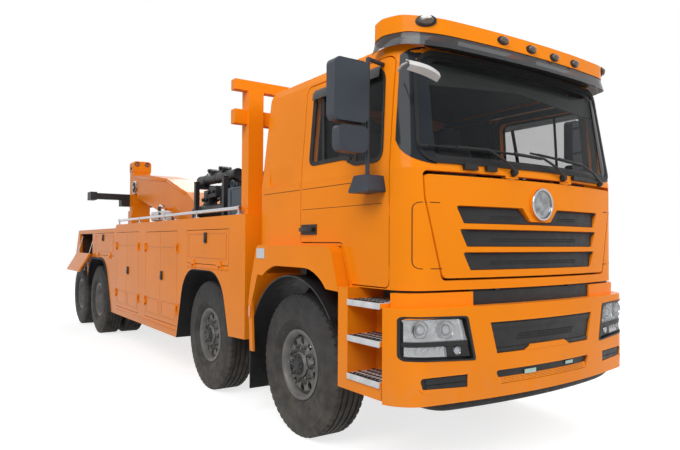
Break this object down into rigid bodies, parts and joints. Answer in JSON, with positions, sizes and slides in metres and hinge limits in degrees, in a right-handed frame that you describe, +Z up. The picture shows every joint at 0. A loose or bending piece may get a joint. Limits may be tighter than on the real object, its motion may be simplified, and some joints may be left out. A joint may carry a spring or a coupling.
{
  "type": "tow truck",
  "caption": "Heavy four-axle recovery truck: forward cab, side lockers, lifting boom with extending mast and fold-down underlift arm.",
  "frame": {"origin": "on the ground under the middle of the truck's overall box", "axes": "+X forward, +Y to the truck's left, +Z up"},
  "size_m": [10.28, 3.09, 3.15],
  "materials": {
    "paint": "gloss",
    "frame_paint": "satin",
    "engine_metal": "matte",
    "axle_metal": "matte",
    "spring_steel": "satin",
    "tyre_rubber": "matte",
    "glass": "gloss",
    "black_plastic": "matte",
    "slate_plastic": "satin",
    "lamp_glass": "gloss",
    "seat_fabric": "matte",
    "chrome": "gloss",
    "slate_paint": "satin",
    "deck_paint": "matte",
    "rack_paint": "satin",
    "rod_chrome": "gloss"
  },
  "bodies": {
    "chassis": {"axles": "axle_metal", "bumper": "paint", "bumper_grilles": "black_plastic", "cab_interior": "seat_fabric", "cab_shell": "paint", "cab_steps": "paint", "cabinets": "paint", "chassis_frame": "frame_paint", "deck": "deck_paint", "engine_block": "engine_metal", "fork_rack": "rack_paint", "front_fenders": "paint", "hand_rails": "chrome", "headlamps": "lamp_glass", "leaf_springs": "spring_steel", "light_rack": "paint", "mudguards": "black_plastic", "oil_tank": "slate_paint", "sun_visor": "paint", "winches": "axle_metal", "windscreen": "glass"},
    "boom": {"boom": "paint"},
    "boom_extension": {"boom_extension": "paint"},
    "front_lid": {"front_lid": "paint"},
    "knuckle_axle1_left": {"knuckle_axle1_left": "axle_metal"},
    "knuckle_axle1_right": {"knuckle_axle1_right": "axle_metal"},
    "knuckle_axle2_left": {"knuckle_axle2_left": "axle_metal"},
    "knuckle_axle2_right": {"knuckle_axle2_right": "axle_metal"},
    "lift_barrels": {"lift_barrels": "frame_paint"},
    "lift_rods": {"lift_rods": "rod_chrome"},
    "locker_door_a_left": {"locker_door_a_left": "paint"},
    "locker_door_a_right": {"locker_door_a_right": "paint"},
    "locker_door_b_front_left": {"locker_door_b_front_left": "paint"},
    "locker_door_b_front_right": {"locker_door_b_front_right": "paint"},
    "locker_door_b_rear_left": {"locker_door_b_rear_left": "paint"},
    "locker_door_b_rear_right": {"locker_door_b_rear_right": "paint"},
    "locker_door_c_front_left": {"locker_door_c_front_left": "paint"},
    "locker_door_c_front_right": {"locker_door_c_front_right": "paint"},
    "locker_door_c_rear_left": {"locker_door_c_rear_left": "paint"},
    "locker_door_c_rear_right": {"locker_door_c_rear_right": "paint"},
    "locker_door_d_left": {"locker_door_d_left": "paint"},
    "locker_door_d_right": {"locker_door_d_right": "paint"},
    "locker_door_e_left": {"locker_door_e_left": "paint"},
    "locker_door_e_right": {"locker_door_e_right": "paint"},
    "underlift_arm": {"underlift_arm": "paint"},
    "underlift_slider": {"underlift_slider": "frame_paint"},
    "wheel_axle1_left": {"wheel_axle1_left": "tyre_rubber"},
    "wheel_axle1_right": {"wheel_axle1_right": "tyre_rubber"},
    "wheel_axle2_left": {"wheel_axle2_left": "tyre_rubber"},
    "wheel_axle2_right": {"wheel_axle2_right": "tyre_rubber"},
    "wheel_axle3_left": {"wheel_axle3_left": "tyre_rubber"},
    "wheel_axle3_right": {"wheel_axle3_right": "tyre_rubber"},
    "wheel_axle4_left": {"wheel_axle4_left": "tyre_rubber"},
    "wheel_axle4_right": {"wheel_axle4_right": "tyre_rubber"},
    "cab_door_right": {"cab_door_right": "paint", "door_glass_right": "glass", "mirror_right": "slate_plastic"},
    "cab_door_left": {"cab_door_left": "paint", "door_glass_left": "glass", "mirror_left": "slate_plastic"}
  },
  "joints": [
    {"name": "steer_axle1_left", "type": "hinge", "parent": "chassis", "child": "knuckle_axle1_left", "pos_m": [3.68, 0.905, 0.555], "axis": [0, 0, 1], "range_deg": [-35, 35]},
    {"name": "steer_axle1_right", "type": "hinge", "parent": "chassis", "child": "knuckle_axle1_right", "pos_m": [3.68, -0.905, 0.555], "axis": [0, 0, 1], "range_deg": [-35, 35]},
    {"name": "steer_axle2_left", "type": "hinge", "parent": "chassis", "child": "knuckle_axle2_left", "pos_m": [1.88, 0.905, 0.555], "axis": [0, 0, 1], "range_deg": [-25, 25]},
    {"name": "steer_axle2_right", "type": "hinge", "parent": "chassis", "child": "knuckle_axle2_right", "pos_m": [1.88, -0.905, 0.555], "axis": [0, 0, 1], "range_deg": [-25, 25]},
    {"name": "roll_axle1_left", "type": "hinge", "parent": "knuckle_axle1_left", "child": "wheel_axle1_left", "pos_m": [3.68, 1.018, 0.555], "axis": [0, 1, 0], "continuous": true},
    {"name": "roll_axle1_right", "type": "hinge", "parent": "knuckle_axle1_right", "child": "wheel_axle1_right", "pos_m": [3.68, -1.018, 0.555], "axis": [0, 1, 0], "continuous": true},
    {"name": "roll_axle2_left", "type": "hinge", "parent": "knuckle_axle2_left", "child": "wheel_axle2_left", "pos_m": [1.88, 1.018, 0.555], "axis": [0, 1, 0], "continuous": true},
    {"name": "roll_axle2_right", "type": "hinge", "parent": "knuckle_axle2_right", "child": "wheel_axle2_right", "pos_m": [1.88, -1.018, 0.555], "axis": [0, 1, 0], "continuous": true},
    {"name": "roll_axle3_left", "type": "hinge", "parent": "chassis", "child": "wheel_axle3_left", "pos_m": [-2.695, 0.911, 0.555], "axis": [0, 1, 0], "continuous": true},
    {"name": "roll_axle3_right", "type": "hinge", "parent": "chassis", "child": "wheel_axle3_right", "pos_m": [-2.695, -0.911, 0.555], "axis": [0, 1, 0], "continuous": true},
    {"name": "roll_axle4_left", "type": "hinge", "parent": "chassis", "child": "wheel_axle4_left", "pos_m": [-4.095, 0.911, 0.555], "axis": [0, 1, 0], "continuous": true},
    {"name": "roll_axle4_right", "type": "hinge", "parent": "chassis", "child": "wheel_axle4_right", "pos_m": [-4.095, -0.911, 0.555], "axis": [0, 1, 0], "continuous": true},
    {"name": "cab_door_left_swing", "type": "hinge", "parent": "chassis", "child": "cab_door_left", "pos_m": [4.8, 1.15, 1.6], "axis": [0, 0, -1], "range_deg": [0, 70]},
    {"name": "cab_door_right_swing", "type": "hinge", "parent": "chassis", "child": "cab_door_right", "pos_m": [4.8, -1.15, 1.6], "axis": [0, 0, 1], "range_deg": [0, 70]},
    {"name": "front_lid_swing", "type": "hinge", "parent": "chassis", "child": "front_lid", "pos_m": [5.072, 0, 1.957], "axis": [0, -1, 0], "range_deg": [0, 60]},
    {"name": "locker_a_left_swing", "type": "hinge", "parent": "chassis", "child": "locker_door_a_left", "pos_m": [2.018, 1.257, 1.288], "axis": [-1, 0, 0], "range_deg": [0, 150]},
    {"name": "locker_b_front_left_swing", "type": "hinge", "parent": "chassis", "child": "locker_door_b_front_left", "pos_m": [1.161, 1.257, 1.1], "axis": [0, 0, -1], "range_deg": [0, 95]},
    {"name": "locker_b_rear_left_swing", "type": "hinge", "parent": "chassis", "child": "locker_door_b_rear_left", "pos_m": [-0.023, 1.257, 1.1], "axis": [0, 0, 1], "range_deg": [0, 95]},
    {"name": "locker_c_front_left_swing", "type": "hinge", "parent": "chassis", "child": "locker_door_c_front_left", "pos_m": [-0.341, 1.257, 1.1], "axis": [0, 0, -1], "range_deg": [0, 95]},
    {"name": "locker_c_rear_left_swing", "type": "hinge", "parent": "chassis", "child": "locker_door_c_rear_left", "pos_m": [-1.467, 1.257, 1.1], "axis": [0, 0, 1], "range_deg": [0, 95]},
    {"name": "locker_d_left_swing", "type": "hinge", "parent": "chassis", "child": "locker_door_d_left", "pos_m": [-2.255, 1.257, 1.293], "axis": [-1, 0, 0], "range_deg": [0, 150]},
    {"name": "locker_e_left_swing", "type": "hinge", "parent": "chassis", "child": "locker_door_e_left", "pos_m": [-3.605, 1.257, 1.293], "axis": [-1, 0, 0], "range_deg": [0, 150]},
    {"name": "locker_a_right_swing", "type": "hinge", "parent": "chassis", "child": "locker_door_a_right", "pos_m": [2.018, -1.257, 1.288], "axis": [1, 0, 0], "range_deg": [0, 150]},
    {"name": "locker_b_front_right_swing", "type": "hinge", "parent": "chassis", "child": "locker_door_b_front_right", "pos_m": [1.161, -1.257, 1.1], "axis": [0, 0, 1], "range_deg": [0, 95]},
    {"name": "locker_b_rear_right_swing", "type": "hinge", "parent": "chassis", "child": "locker_door_b_rear_right", "pos_m": [-0.023, -1.257, 1.1], "axis": [0, 0, -1], "range_deg": [0, 95]},
    {"name": "locker_c_front_right_swing", "type": "hinge", "parent": "chassis", "child": "locker_door_c_front_right", "pos_m": [-0.341, -1.257, 1.1], "axis": [0, 0, 1], "range_deg": [0, 95]},
    {"name": "locker_c_rear_right_swing", "type": "hinge", "parent": "chassis", "child": "locker_door_c_rear_right", "pos_m": [-1.467, -1.257, 1.1], "axis": [0, 0, -1], "range_deg": [0, 95]},
    {"name": "locker_d_right_swing", "type": "hinge", "parent": "chassis", "child": "locker_door_d_right", "pos_m": [-2.255, -1.257, 1.293], "axis": [1, 0, 0], "range_deg": [0, 150]},
    {"name": "locker_e_right_swing", "type": "hinge", "parent": "chassis", "child": "locker_door_e_right", "pos_m": [-3.605, -1.257, 1.293], "axis": [1, 0, 0], "range_deg": [-150, 0]},
    {"name": "boom_lift", "type": "hinge", "parent": "chassis", "child": "boom", "pos_m": [-0.67, 0, 1.9], "axis": [0, 1, 0], "range_deg": [0, 40]},
    {"name": "boom_extend", "type": "slide", "parent": "boom", "child": "boom_extension", "axis": [-0.9877, 0, 0.1564], "range_m": [0, 0.9]},
    {"name": "lift_barrel_swing", "type": "hinge", "parent": "chassis", "child": "lift_barrels", "pos_m": [-0.67, 0, 1.45], "axis": [0, 1, 0], "range_deg": [0, 33]},
    {"name": "lift_rod_stroke", "type": "slide", "parent": "lift_barrels", "child": "lift_rods", "axis": [-0.908, 0, 0.4191], "range_m": [0, 0.25]},
    {"name": "underlift_fold", "type": "hinge", "parent": "boom_extension", "child": "underlift_arm", "pos_m": [-4.92, 0, 0.64], "axis": [0, -1, 0], "range_deg": [0, 95]},
    {"name": "underlift_extend", "type": "slide", "parent": "underlift_arm", "child": "underlift_slider", "axis": [0, 0, 1], "range_m": [0, 0.9]}
  ],
  "couplings": [
    {"joint": "steer_axle1_right", "follows": "steer_axle1_left", "ratio": 1},
    {"joint": "steer_axle2_left", "follows": "steer_axle1_left", "ratio": 0.7},
    {"joint": "steer_axle2_right", "follows": "steer_axle1_left", "ratio": 0.7},
    {"joint": "lift_barrel_swing", "follows": "boom_lift", "ratio": 0.8205},
    {"joint": "lift_rod_stroke", "follows": "boom_lift", "m_per_rad": 0.34777}
  ]
}
